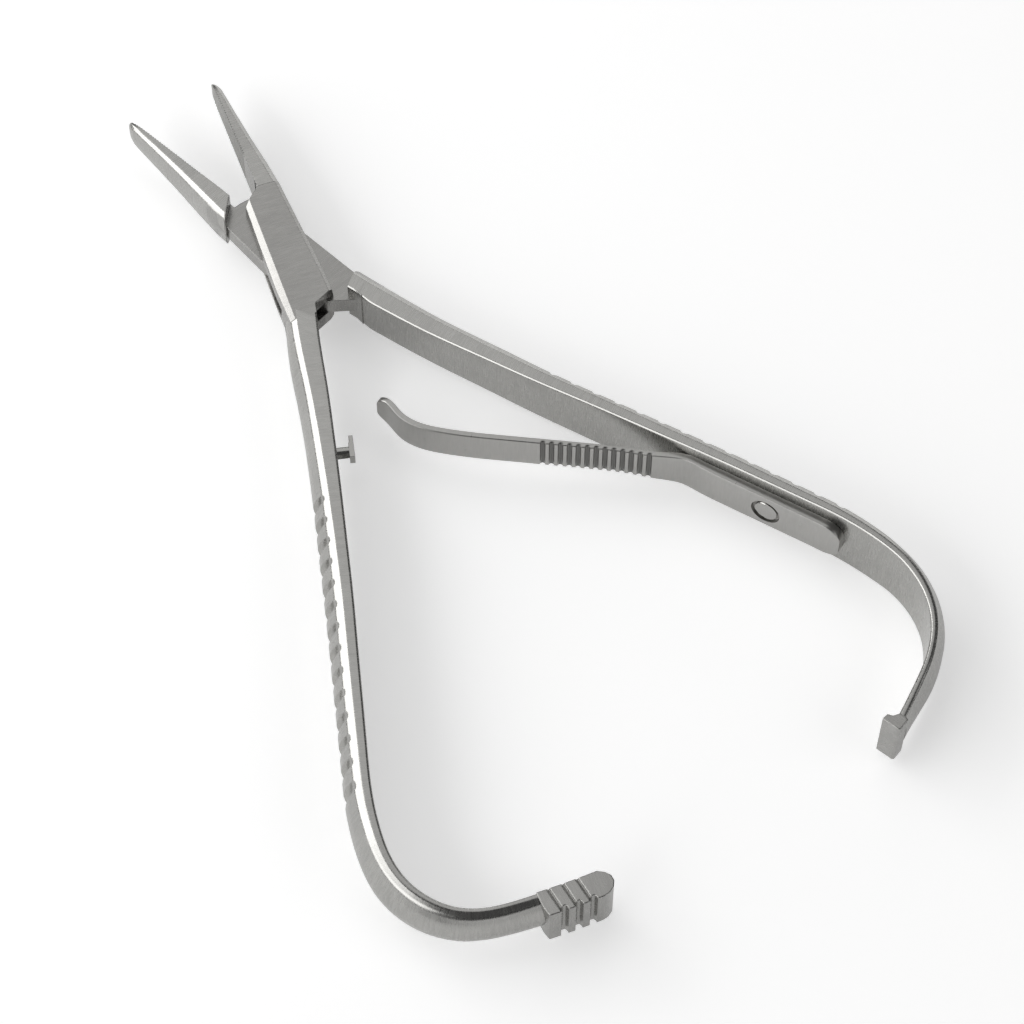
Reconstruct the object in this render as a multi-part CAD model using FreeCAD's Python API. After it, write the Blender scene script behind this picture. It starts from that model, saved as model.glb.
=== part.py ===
import FreeCAD, Part
import math
import os

os.makedirs("parts", exist_ok=True)

# Palm-grip needle holder with a box lock, an end ratchet and a leaf spring.
# Millimetres. Z = 0 is the middle plane of the lock and +Z is up. The jaws point along +Y.
# Each arm is drawn closed, with its jaw on the line X = 0, and is then turned open about the pivot.

# Driving dimensions

OPEN_ANGLE = 24.2          # angle between the two jaws as they lie open, degrees

# Lock
LOCK_HEIGHT = 7.8          # over both walls of the box
WEB_HEIGHT = 3.0           # middle web of the other arm
WEB_CLEARANCE = 0.05       # between the web and each wall
PIN_RADIUS = 1.6
PIN_CLEARANCE = 0.03       # between the pin and the web
WEB_FRONT_RADIUS = 11.1    # round front end of the web, about the pivot
SLOT_FRONT_GAP = 0.25      # between the web's round front end and the slot
SLOT_REAR_GAP = 0.4        # between the web's slanted rear edge and the end of the slot

# Jaws
JAW_TIP_Y = 37.8
JAW_FACE_END_Y = 11.2      # where the gripping face meets the box
JAW_FACE_GAP = 0.02        # from each gripping face to the line X = 0
SERRATION_FIRST_Y = 19.3
SERRATION_PITCH = 0.6
SERRATION_COUNT = 30
SERRATION_DEPTH = 0.2

# Finger grooves on the outer side of each handle
GROOVE_COUNT = 14
GROOVE_FIRST_Y = -53.3
GROOVE_LAST_Y = -103.1
GROOVE_RADIUS = 0.78
GROOVE_BITE = 0.4          # how far each groove eats into the bevel

# Ratchet
RACK_OUTER_RADIUS = 131.9  # tips of the teeth, from the pivot
RACK_INNER_RADIUS = 127.8
RACK_HEIGHT = 8.1
RACK_START_X = -2.6
RACK_END_X = 8.2
RACK_EDGE = 0.35           # bevel along the top and bottom of the toothed face
TOOTH_GAP_COUNT = 3
TOOTH_GAP_FIRST_X = -0.15
TOOTH_GAP_PITCH = 2.25
TOOTH_GAP_WIDTH = 0.95
TOOTH_GAP_DEPTH = 0.8
TOOTH_NOTCH_DEPTH = 0.35
TOOTH_NOTCH_LEAN = 1.6
CATCH_RADIUS = 132.0       # tip of the catch, from the pivot
CATCH_HEIGHT = 9.5
CATCH_TIP_WIDTH = 1.15
CATCH_TIP_LENGTH = 1.2     # from the inner face of the strap to the tip

# Leaf spring
SPRING_THICKNESS = 1.0
SPRING_ROOT_THICKNESS = 1.5
SPRING_SEAT_GAP = 0.06     # between the back of the spring and the handle it lies on
SPRING_FREE_HEIGHT = 6.0
SPRING_ROOT_HEIGHT = 7.1
SPRING_GROOVE_COUNT = 13
SPRING_GROOVE_FIRST = 33.9  # along the spring from its riveted end
SPRING_GROOVE_PITCH = 1.43
SPRING_GROOVE_RADIUS = 0.45
SPRING_GROOVE_DEPTH = 0.36
RIVET_Y = -92.6
RIVET_HEAD_RADIUS = 1.95
RIVET_HEAD_HEIGHT = 0.85
RIVET_DOME_HEIGHT = 0.3
RIVET_SHANK_RADIUS = 1.2
RIVET_LENGTH = 4.2
RIVET_RING_WIDTH = 0.35    # between the rivet head and the countersink in the spring
RIVET_CLEARANCE = 0.04

# Hooked stud that the other arm carries to catch the spring
STUD_Y = -42.6
STUD_SHANK_RADIUS = 0.95
STUD_REACH = 2.9
STUD_SEAT_DEPTH = 2.0
STUD_HEAD_THICKNESS = 0.85
STUD_HEAD_AHEAD = 2.6      # from the middle of the shank towards the jaws
STUD_HEAD_BEHIND = 1.5

INNER_BEVEL = 0.28         # small bevel along the inner edges of the handles
BEND_FROM = 111.0          # behind this each handle bends in to follow its ratchet radius
HANDLE_STATIONS = 60       # sections along each handle
SPRING_STATIONS = 24


# Helpers

def vec(x, y, z=0.0):
    return FreeCAD.Vector(x, y, z)


def between(value, table, column):
    """Value of one column of a table of rows, found by straight lines on the first column."""
    rows = sorted(table)
    if value <= rows[0][0]:
        return rows[0][column]
    for low, high in zip(rows, rows[1:]):
        if value <= high[0]:
            share = (value - low[0]) / (high[0] - low[0])
            return low[column] + share * (high[column] - low[column])
    return rows[-1][column]


def wire_of(points):
    return Part.makePolygon(points + [points[0]])


def plate(points, z_low, z_high):
    """Flat plate with the given plan outline."""
    outline = wire_of([vec(x, y, z_low) for x, y in points])
    return Part.Face(outline).extrude(vec(0, 0, z_high - z_low))


def plate_of(corners, height):
    """Plate of the given height about the middle plane, from plan corners given as vectors."""
    return plate([(corner.x, corner.y) for corner in corners], -height / 2, height / 2)


def upright(x, y, radius, height):
    return Part.makeCylinder(radius, height, vec(x, y, -height / 2))


def mirrored(shape):
    return shape.mirror(vec(0, 0, 0), vec(1, 0, 0))


def turned(shape, degrees):
    copy = shape.copy()
    copy.rotate(vec(0, 0, 0), vec(0, 0, 1), degrees)
    return copy


def curve_through(points):
    """Smooth plan curve through the given points."""
    spline = Part.BSplineCurve()
    spline.interpolate([vec(x, y) for x, y in points])
    return spline


def place_on(line, y):
    """Point of a plan curve at the given Y, on its first run back, and the direction there."""
    curve = curve_through(line)
    low, high = curve.FirstParameter, curve.parameter(vec(*line[-9]))
    for _ in range(40):
        middle = (low + high) / 2
        if curve.value(middle).y > y:
            low = middle
        else:
            high = middle
    return curve.value(low), curve.tangent(low)[0]


# Handle of both arms

# Plan of the inner face of each handle, from the lock back to the bend and along the strap.
# Both are drawn on the side of the arm with the box. The web arm is turned over afterwards.
RACK_HANDLE_LINE = [
    (1.7, -14.0), (0.75, -18.0), (-0.2, -22.0), (-2.2, -32.0), (-4.4, -42.0), (-6.7, -52.0),
    (-9.1, -62.0), (-11.55, -72.0), (-14.05, -81.5), (-16.4, -90.5), (-18.5, -98.5),
    (-20.15, -105.5), (-20.85, -111.0), (-20.85, -115.3), (-19.85, -119.5), (-17.5, -123.3),
    (-14.2, -126.0), (-10.8, -127.25), (-6.3, -127.75), (-1.8, -127.8),
]
CATCH_HANDLE_LINE = [
    (0.25, -13.0), (-0.45, -17.2), (-1.4, -22.1), (-3.4, -31.7), (-5.95, -41.5), (-8.75, -52.0),
    (-11.75, -62.2), (-14.6, -72.2), (-17.25, -81.5), (-19.7, -90.6), (-21.75, -98.3),
    (-23.45, -105.5), (-24.15, -111.2), (-24.2, -115.3), (-23.45, -119.1), (-22.0, -122.5),
    (-19.8, -125.5), (-16.8, -128.0), (-13.4, -129.85), (-9.8, -131.2), (-6.0, -132.45),
    (-3.6, -133.2),
]
RACK_LINE_DRAWN_FOR = 127.8   # inner radius of the rack to which the first line was drawn
CATCH_LINE_DRAWN_FOR = 132.0  # radius of the catch to which the second line was drawn

# Section against the distance back from the pivot: distance, half height, thickness,
# width of the flat top, width of the bevel.
HANDLE_SECTION = [
    (14.0, 3.90, 6.0, 3.3, 0.9),
    (22.0, 3.90, 5.8, 3.1, 0.95),
    (32.0, 4.05, 5.3, 2.8, 1.0),
    (42.0, 4.35, 4.9, 2.4, 1.1),
    (52.0, 4.70, 4.8, 2.1, 1.15),
    (62.0, 5.00, 4.8, 1.85, 1.25),
    (72.0, 5.25, 4.7, 1.7, 1.35),
    (90.0, 5.65, 4.4, 1.5, 1.4),
    (106.0, 5.85, 4.25, 1.25, 1.35),
    (114.0, 5.80, 4.1, 1.1, 1.2),
    (120.0, 5.50, 3.95, 1.0, 1.0),
    (127.0, 5.20, 3.5, 0.85, 0.85),
    (134.0, 4.90, 2.95, 0.75, 0.8),
    (150.0, 4.65, 2.6, 0.75, 0.8),
]
BEVEL_SLOPE = 0.6          # drop of the bevel over its width
STRAP_FROM = 108.0         # where the handle starts to thin into the strap
STRAP_LENGTH = 22.0
RACK_STRAP_LOWER_BY = 0.85
CATCH_STRAP_LOWER_BY = 0.0
RACK_HANDLE_THINNER_BY = 0.0
CATCH_HANDLE_THINNER_BY = 0.4


def fitted(line, radius, drawn_for):
    """Plan line of a handle with its bend stretched until the strap lies at the given radius."""
    share = (radius - BEND_FROM) / (drawn_for - BEND_FROM)
    return [(x, y if y > -BEND_FROM else (y + BEND_FROM) * share - BEND_FROM) for x, y in line]


def thinner(back, thinner_by):
    """How much thinner this handle is here. It runs in gradually behind the lock."""
    return thinner_by * min(1.0, max(0.0, (back - 45.0) / 15.0))


def bevel_edge(back, thinner_by):
    """Distance from the inner face to the outer edge of the bevel."""
    return between(back, HANDLE_SECTION, 3) + between(back, HANDLE_SECTION, 4) - thinner(back, thinner_by)


def handle_wire(place, along, back, half_height, thinner_by):
    """Closed section of the handle, square to its plan line, with the flat face on the line."""
    outward = vec(along.y, -along.x)
    thickness = between(back, HANDLE_SECTION, 2) - thinner(back, thinner_by)
    flat = between(back, HANDLE_SECTION, 3)
    edge = bevel_edge(back, thinner_by)
    side_height = half_height - (edge - flat) * BEVEL_SLOPE
    upper = [
        (0.0, half_height - INNER_BEVEL),
        (INNER_BEVEL, half_height),
        (flat, half_height),
        (edge, side_height),
        (0.3 * edge + 0.7 * thickness, 0.5 * side_height),
    ]
    lower = [(s, -z) for s, z in reversed(upper)]
    outline = upper + [(thickness, 0.0)] + lower
    return wire_of([place + outward * s + vec(0, 0, z) for s, z in outline])


def handle_solid(line, strap_lower_by, thinner_by):
    """Handle, bend and strap as one skin through many sections."""
    curve = curve_through(line)
    edge = curve.toShape()
    steps = HANDLE_STATIONS
    wires = []
    for index in range(steps + 1):
        travelled = edge.Length * (index / steps)
        parameter = edge.getParameterByLength(travelled)
        back = -line[0][1] + travelled
        strap = min(1.0, max(0.0, (back - STRAP_FROM) / STRAP_LENGTH))
        half_height = between(back, HANDLE_SECTION, 1) - strap_lower_by * strap
        place, along = curve.value(parameter), curve.tangent(parameter)[0]
        wires.append(handle_wire(place, along, back, half_height, thinner_by))
    return Part.makeLoft(wires, True, True)


def groove_cutter(line, station_y, thinner_by):
    """Upright round-bottomed groove across the outer side of the handle at one station."""
    place, along = place_on(line, station_y)
    outward = vec(along.y, -along.x)
    back = -station_y * 1.01
    centre = place + outward * (bevel_edge(back, thinner_by) - GROOVE_BITE + GROOVE_RADIUS)
    far = centre + outward * 6.0
    side = vec(along.x, along.y) * GROOVE_RADIUS
    mouth = plate_of([centre + side, centre - side, far - side * 2.6, far + side * 2.6], 14.0)
    return upright(centre.x, centre.y, GROOVE_RADIUS, 14.0).fuse(mouth)


def grooved_handle(line, strap_lower_by, thinner_by):
    handle = handle_solid(line, strap_lower_by, thinner_by)
    step = (GROOVE_LAST_Y - GROOVE_FIRST_Y) / (GROOVE_COUNT - 1)
    stations = [GROOVE_FIRST_Y + step * index for index in range(GROOVE_COUNT)]
    return handle.cut([groove_cutter(line, y, thinner_by) for y in stations])


# Jaws

# Jaw section against Y: half height, flat top, outer edge of the bevel, widest point.
JAW_SECTION = [
    (8.0, 3.90, 3.05, 3.95, 4.25),
    (11.5, 3.88, 2.85, 3.75, 4.05),
    (16.0, 3.74, 2.45, 3.35, 3.6),
    (23.0, 3.30, 1.7, 2.5, 2.65),
    (30.0, 2.85, 1.1, 1.8, 1.95),
    (34.5, 2.56, 0.8, 1.4, 1.55),
    (38.0, 2.35, 0.55, 1.15, 1.3),
]


def jaw_wire(y):
    half_height = between(y, JAW_SECTION, 1)
    flat = between(y, JAW_SECTION, 2)
    edge = between(y, JAW_SECTION, 3)
    widest = between(y, JAW_SECTION, 4)
    side_height = half_height - (edge - flat) * 0.8
    upper = [(JAW_FACE_GAP, half_height), (flat, half_height), (edge, side_height)]
    lower = [(x, -z) for x, z in reversed(upper)]
    return wire_of([vec(x, y, z) for x, z in upper + [(widest, 0.0)] + lower])


def jaw_solid(start_y):
    """Jaw from the box to its rounded tip, with its gripping face along X = 0."""
    stations = [start_y, 11.5, 16.0, 23.0, 30.0, 34.5, JAW_TIP_Y]
    jaw = Part.makeLoft([jaw_wire(y) for y in stations], True, True)
    nose = plate([(-0.5, JAW_TIP_Y + 1.0), (0.0, JAW_TIP_Y), (0.4, JAW_TIP_Y - 0.06),
                  (0.75, JAW_TIP_Y - 0.28), (1.05, JAW_TIP_Y - 0.7), (1.3, JAW_TIP_Y - 1.4),
                  (1.55, JAW_TIP_Y - 2.4), (2.3, JAW_TIP_Y - 5.0), (6.5, JAW_TIP_Y - 15.0),
                  (6.5, 0.0), (-0.5, 0.0)], -6, 6)
    return jaw.common(nose)


def serration_cutters():
    """Row of V grooves from top to bottom across the gripping face."""
    half = SERRATION_PITCH * 0.48
    slope = half / SERRATION_DEPTH
    reach = half + slope * 0.2
    deepest = JAW_FACE_GAP + SERRATION_DEPTH
    start = JAW_FACE_GAP - 0.2
    cutters = []
    for index in range(SERRATION_COUNT):
        y = SERRATION_FIRST_Y + SERRATION_PITCH * index
        cutters.append(plate([(start, y - reach), (deepest, y), (start, y + reach)], -6, 6))
    return cutters


# Arm with the box

# Box section against Y: edge of the flat top, left side, right side.
BOX_SECTION = [
    (-18.0, -3.2, -4.3, 4.85),
    (-10.0, -2.85, -4.1, 4.8),
    (0.0, -2.35, -3.5, 4.35),
    (8.0, -2.0, -3.1, 3.95),
    (12.0, -1.85, -2.95, 3.75),
]
BOX_RIGHT_BEVEL = 0.8
BOX_SIDE_BULGE = 0.3
BOX_FACING = 0.1            # taken off the top and the bottom to leave them flat

# Rear edge of the web where it slants across the lock, in the closed position
WEB_REAR = [(9.0, -8.75), (-2.6, -18.9)]


def box_wire(y):
    half_height = LOCK_HEIGHT / 2 + BOX_FACING
    flat = between(y, BOX_SECTION, 1)
    left = between(y, BOX_SECTION, 2)
    right = between(y, BOX_SECTION, 3)
    left_height = half_height - (flat - left) * BEVEL_SLOPE
    right_height = half_height - BOX_RIGHT_BEVEL * 0.8
    upper = [(left, left_height), (flat, half_height), (right - BOX_RIGHT_BEVEL, half_height),
             (right, right_height)]
    lower = [(x, -z) for x, z in reversed(upper)]
    outline = [(left - BOX_SIDE_BULGE, 0.0)] + upper + [(right + BOX_SIDE_BULGE, 0.0)] + lower
    return wire_of([vec(x, y, z) for x, z in outline])


def box_solid():
    box = Part.makeLoft([box_wire(row[0]) for row in BOX_SECTION], True, True)
    keep = plate([(-9.0, 2.1), (0.0, JAW_FACE_END_Y), (9.0, JAW_FACE_END_Y), (9.0, -11.4),
                  (4.9, -13.6), (1.25, -15.55), (0.85, -17.5), (-9.0, -17.5)],
                 -LOCK_HEIGHT / 2, LOCK_HEIGHT / 2)
    return box.common(keep)


def slot():
    """Room for the web, open at both sides of the box and round at its front end."""
    half = WEB_HEIGHT / 2 + WEB_CLEARANCE
    back = SLOT_REAR_GAP * 1.33
    rear = [(-x, y - back) for x, y in WEB_REAR]
    outline = plate(rear + [(9.0, -19.0), (9.0, 14.0), (-9.0, 14.0)], -half, half)
    front = upright(0, 0, WEB_FRONT_RADIUS + SLOT_FRONT_GAP, 2 * half)
    behind = plate([(-12.0, 3.0), (-12.0, -25.0), (12.0, -25.0), (12.0, 3.0)], -half, half)
    return outline.common(front.fuse(behind))


def rack_block():
    """Block at the end of the strap. Its outer face is round about the pivot."""
    left, right = RACK_START_X, RACK_END_X
    outer, inner = -RACK_OUTER_RADIUS, -RACK_INNER_RADIUS
    outline = [(left - 1.4, inner + 3.0), (left - 1.4, outer + 1.75), (left - 0.6, outer + 1.4),
               (left - 0.15, outer + 0.85), (left + 0.05, outer - 4.0), (right - 2.4, outer - 4.0),
               (right - 2.4, outer + 0.1), (right - 1.4, outer + 0.35), (right - 0.5, outer + 1.0),
               (right, outer + 2.0), (right - 0.15, outer + 2.9), (right - 0.8, outer + 3.6),
               (right - 1.9, inner + 3.0)]
    half = RACK_HEIGHT / 2
    ring = upright(0, 0, RACK_OUTER_RADIUS, RACK_HEIGHT)
    rims = [edge for edge in ring.Edges if len(edge.Vertexes) == 1 or edge.isClosed()]
    ring = ring.makeChamfer(RACK_EDGE, rims)
    ring = ring.cut(upright(0, 0, RACK_INNER_RADIUS, RACK_HEIGHT))
    return plate(outline, -half, half).common(ring)


def tooth_gap_cutters():
    """Gaps between the teeth. From each a shallow notch runs on across the top and bottom."""
    root = -RACK_OUTER_RADIUS + TOOTH_GAP_DEPTH
    front, rear = -RACK_OUTER_RADIUS - 2.0, -RACK_INNER_RADIUS + 2.0
    cutters = []
    for index in range(TOOTH_GAP_COUNT):
        x = TOOTH_GAP_FIRST_X + TOOTH_GAP_PITCH * index
        left, right = x - TOOTH_GAP_WIDTH / 2, x + TOOTH_GAP_WIDTH / 2
        cutters.append(plate([(left - 0.15, front), (left + 0.05, root - 0.25), (left + 0.3, root),
                              (right - 0.2, root), (right, root - 0.3), (right + 0.1, front)], -6, 6))
        for sign in (1, -1):
            level = sign * RACK_HEIGHT / 2
            near = [vec(left - 0.2, front, level + sign * 0.3), vec(right + 0.2, front, level + sign * 0.3),
                    vec(x + 0.1, front, level - sign * TOOTH_NOTCH_DEPTH)]
            far = [vec(p.x - TOOTH_NOTCH_LEAN, rear, p.z) for p in near]
            cutters.append(Part.makeLoft([wire_of(near), wire_of(far)], True, True))
    return cutters


def box_arm():
    line = fitted(RACK_HANDLE_LINE, RACK_INNER_RADIUS, RACK_LINE_DRAWN_FOR)
    handle = grooved_handle(line, RACK_STRAP_LOWER_BY, RACK_HANDLE_THINNER_BY)
    arm = jaw_solid(8.0).fuse([box_solid(), handle])
    arm = arm.cut([slot(), upright(0, 0, PIN_RADIUS, 12.0)])
    arm = arm.cut(serration_cutters())
    arm = arm.fuse(rack_block()).cut(tooth_gap_cutters())
    place, inward, _ = stud_place()
    return arm.cut(Part.makeCylinder(STUD_SHANK_RADIUS, STUD_SEAT_DEPTH + 1.0,
                                     place - inward * STUD_SEAT_DEPTH, inward))


# Hooked stud

def stud_place():
    """Middle of the stud on the face of the handle, the way it points and the way to the jaws."""
    place, along = place_on(RACK_HANDLE_LINE, STUD_Y)
    return place, vec(-along.y, along.x), vec(-along.x, -along.y)


def spring_stud():
    place, inward, ahead = stud_place()
    shank = Part.makeCylinder(STUD_SHANK_RADIUS, STUD_SEAT_DEPTH + STUD_REACH - 0.3,
                              place - inward * STUD_SEAT_DEPTH, inward)
    face = place + inward * STUD_REACH
    back = face - inward * STUD_HEAD_THICKNESS
    head = plate_of([back - ahead * STUD_HEAD_BEHIND, back + ahead * (STUD_SHANK_RADIUS + 0.2),
                     back + ahead * (STUD_SHANK_RADIUS + 0.6) + inward * 0.25,
                     back + ahead * STUD_HEAD_AHEAD + inward * 0.15,
                     face + ahead * STUD_HEAD_AHEAD, face - ahead * STUD_HEAD_BEHIND],
                    2 * STUD_SHANK_RADIUS)
    return shank.fuse(head)


# Arm with the web

def catch_block():
    """Lip at the end of the strap that turns in towards the rack."""
    tip = -CATCH_RADIUS
    strap = tip - CATCH_TIP_LENGTH
    outline = [(-7.5, strap + 1.0), (-6.2, strap - 1.45), (-1.95, strap - 1.9), (-1.7, strap - 1.7),
               (-1.35, tip + 0.1), (-1.35 - CATCH_TIP_WIDTH, tip + 0.1),
               (-1.7 - CATCH_TIP_WIDTH, tip - 0.65 * CATCH_TIP_LENGTH), (-3.8, strap)]
    half = CATCH_HEIGHT / 2
    block = plate(outline, -half, half)
    return block.cut(upright(0, 0, CATCH_RADIUS, CATCH_HEIGHT + 2.0))


def tenon_arm():
    """Drawn turned over, like the arm with the box. The last step mirrors it to its own side."""
    step = plate([(0.0, 12.1), (9.0, 5.0), (9.0, 45.0), (-1.0, 45.0), (-1.0, 12.1)], -6, 6)
    jaw = jaw_solid(5.0).common(step)

    half = WEB_HEIGHT / 2
    rear = [(x, y) for x, y in WEB_REAR]
    web_outline = [
        (3.6, 10.5), (4.0, 6.0), (4.5, 0.0), (4.8, -5.0), (4.7, -12.5), (-2.2, -18.55), (-5.0, -18.5),
        (-4.75, -12.0), (-4.6, -2.0), (-4.3, 4.0), (-3.9, 14.0), (3.3, 14.0),
    ]
    behind = plate([(-9.0, 3.0), (-9.0, -25.0), (9.0, -25.0), (9.0, 3.0)], -half, half)
    web = plate(web_outline, -half, half)
    web = web.common(upright(0, 0, WEB_FRONT_RADIUS, WEB_HEIGHT).fuse(behind))
    web = web.cut(plate([(x + 0.0, y) for x, y in rear] + [(9.0, -18.9)], -half, half))
    root = plate([(JAW_FACE_GAP, 8.0), (3.8, 6.0), (3.6, 13.5), (JAW_FACE_GAP, 13.5)], -half, half)

    line = fitted(CATCH_HANDLE_LINE, CATCH_RADIUS, CATCH_LINE_DRAWN_FOR)
    handle = grooved_handle(line, CATCH_STRAP_LOWER_BY, CATCH_HANDLE_THINNER_BY)
    reach = CATCH_RADIUS + 20.0
    shoulder = plate([(-12.0, -10.2), (-4.9, -14.0), (-1.3, -15.95), (-1.15, -18.8), (1.0, -21.0),
                      (reach, -21.0), (reach, -reach), (-reach, -reach), (-reach, -10.2)], -9, 9)
    arm = web.fuse([root, jaw, handle.common(shoulder), catch_block()])
    arm = arm.cut(upright(0, 0, PIN_RADIUS + PIN_CLEARANCE, 12.0))
    arm = arm.cut(serration_cutters())
    place, inward = rivet_place()
    depth = RIVET_LENGTH - SPRING_ROOT_THICKNESS
    arm = arm.cut(Part.makeCylinder(RIVET_SHANK_RADIUS, depth + 1.0, place - inward * depth, inward))
    return mirrored(arm)


# Leaf spring and its rivet, drawn turned over like the arm that carries them

# Plan of the back of the spring where it has left the handle, up to its curled tip
SPRING_FREE_LINE = [
    (-13.7, -74.8), (-10.6, -70.3), (-6.9, -65.4), (-2.7, -60.1), (1.7, -54.6), (4.6, -50.9),
    (7.1, -47.4), (8.85, -44.5), (9.7, -42.2), (9.9, -40.2), (9.65, -38.4), (9.5, -36.6),
    (9.85, -34.8),
]
SPRING_ROOT_STATIONS = [-105.3, -101.5, -98.0, -94.5, -91.0, -87.5, -84.0, -81.0, -78.5]


def spring_line():
    """Back of the spring: along the handle at its root, then free."""
    root = []
    for y in SPRING_ROOT_STATIONS:
        place, along = place_on(CATCH_HANDLE_LINE, y)
        place = place + vec(-along.y, along.x) * SPRING_SEAT_GAP
        root.append((place.x, place.y))
    return root + SPRING_FREE_LINE


def spring_outline():
    """Plan of the spring as a face, and its grooved face as an edge."""
    curve = curve_through(spring_line())
    edge = curve.toShape()
    near = []
    for index in range(SPRING_STATIONS + 1):
        travelled = edge.Length * (index / SPRING_STATIONS)
        parameter = edge.getParameterByLength(travelled)
        along = curve.tangent(parameter)[0]
        share = min(1.0, max(0.0, (travelled - 22.0) / 10.0))
        thickness = SPRING_ROOT_THICKNESS + (SPRING_THICKNESS - SPRING_ROOT_THICKNESS) * share
        place = curve.value(parameter) + vec(along.y, -along.x) * thickness
        near.append((place.x, place.y))
    front = curve_through(near).toShape()
    ends = [Part.makeLine(edge.Vertexes[0].Point, front.Vertexes[0].Point),
            Part.makeLine(edge.Vertexes[-1].Point, front.Vertexes[-1].Point)]
    wire = Part.Wire(Part.__sortEdges__([edge, ends[0], front, ends[1]]))
    return Part.Face(wire), front


def spring_elevation():
    """Side view of the spring, full height at its root and slimmer beyond, with round ends."""
    root, free = SPRING_ROOT_HEIGHT / 2, SPRING_FREE_HEIGHT / 2
    low, high = -105.75, -35.1
    upper = [(low, 0.35 * root), (low + 0.25, 0.62 * root), (low + 0.9, 0.85 * root),
             (low + 2.0, 0.97 * root), (low + 3.2, root), (-79.0, root), (-72.0, free),
             (high - 3.6, free), (high - 2.2, 0.95 * free), (high - 1.1, 0.82 * free),
             (high - 0.35, 0.6 * free), (high, 0.25 * free)]
    lower = [(y, -z) for y, z in reversed(upper)]
    outline = wire_of([vec(-40.0, y, z) for y, z in upper + lower])
    return Part.Face(outline).extrude(vec(80.0, 0, 0))


def leaf_spring():
    face, front = spring_outline()
    face.translate(vec(0, 0, -5.0))
    strip = face.extrude(vec(0, 0, 10.0)).common(spring_elevation())
    cutters = []
    for index in range(SPRING_GROOVE_COUNT):
        parameter = front.getParameterByLength(SPRING_GROOVE_FIRST + SPRING_GROOVE_PITCH * index)
        place = front.Curve.value(parameter)
        along = front.Curve.tangent(parameter)[0]
        out = SPRING_GROOVE_RADIUS - SPRING_GROOVE_DEPTH
        centre = place + vec(along.y, -along.x) * out
        cutters.append(upright(centre.x, centre.y, SPRING_GROOVE_RADIUS, 10.0))
    place, inward = rivet_place()
    hole = Part.makeCylinder(RIVET_SHANK_RADIUS + RIVET_CLEARANCE, 5.0, place - inward, inward)
    seat = place + inward * (SPRING_ROOT_THICKNESS + SPRING_SEAT_GAP - RIVET_HEAD_HEIGHT)
    sink = Part.makeCylinder(RIVET_HEAD_RADIUS + RIVET_RING_WIDTH, 4.0, seat, inward)
    return mirrored(strip.cut(cutters + [hole, sink]))


def rivet_place():
    """Where the rivet enters the handle, and the way towards its head."""
    place, along = place_on(CATCH_HANDLE_LINE, RIVET_Y)
    return place, vec(-along.y, along.x)


def spring_rivet():
    """Turned rivet: shank in the handle, flat head with a low dome in the spring's countersink."""
    place, inward = rivet_place()
    below = RIVET_LENGTH - SPRING_ROOT_THICKNESS
    seat = SPRING_ROOT_THICKNESS + SPRING_SEAT_GAP - RIVET_HEAD_HEIGHT + RIVET_CLEARANCE
    top = seat + RIVET_HEAD_HEIGHT - 0.15
    dome_radius = (RIVET_HEAD_RADIUS ** 2 + RIVET_DOME_HEIGHT ** 2) / (2 * RIVET_DOME_HEIGHT)
    shank = Part.makeCylinder(RIVET_SHANK_RADIUS, below + seat + 0.1, place - inward * below, inward)
    head = Part.makeCylinder(RIVET_HEAD_RADIUS, top + 1.0 - seat, place + inward * seat, inward)
    dome = Part.makeSphere(dome_radius, place + inward * (top + RIVET_DOME_HEIGHT - dome_radius))
    return mirrored(shank.fuse(head.common(dome)))


# Whole instrument

def main():
    half_open = OPEN_ANGLE / 2
    pieces = {
        "box_arm": turned(box_arm(), -half_open),
        "spring_stud": turned(spring_stud(), -half_open),
        "pivot_pin": upright(0, 0, PIN_RADIUS, LOCK_HEIGHT),
        "tenon_arm": turned(tenon_arm(), half_open),
        "leaf_spring": turned(leaf_spring(), half_open),
        "spring_rivet": turned(spring_rivet(), half_open),
    }
    # The origin is the middle of the base of the box around the whole instrument.
    around = Part.makeCompound(list(pieces.values())).optimalBoundingBox(False, False)
    middle = vec((around.XMin + around.XMax) / 2, (around.YMin + around.YMax) / 2, around.ZMin)
    for name, piece in pieces.items():
        piece.translate(middle * -1)
        piece.exportStep("parts/" + name + ".step")


main()
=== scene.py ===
"""Looks of a palm-grip needle holder that lies open on a pale floor.

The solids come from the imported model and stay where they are. Both handles and both jaws are swept
skins, computed from a line and a table of sections: the handles with fourteen finger grooves, the
jaws with a serrated gripping face. The box and the web of the lock are copies of the solids, cut
off where the skins take over, and the stud and the rivet are whole copies. The rack and the catch
are blocks with rounded edges, the pin is a plain bar, and the leaf spring is a swept strip that
bends where it leaves its handle. All lengths are in millimetres until a mesh is made.

Each arm is described closed, with its gripping face on the line X = 0 and its handle at negative
X, and is then turned open about the pivot. The arm with the web is mirrored first.
"""

import logging
import math
from dataclasses import dataclass
from enum import Enum

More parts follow.
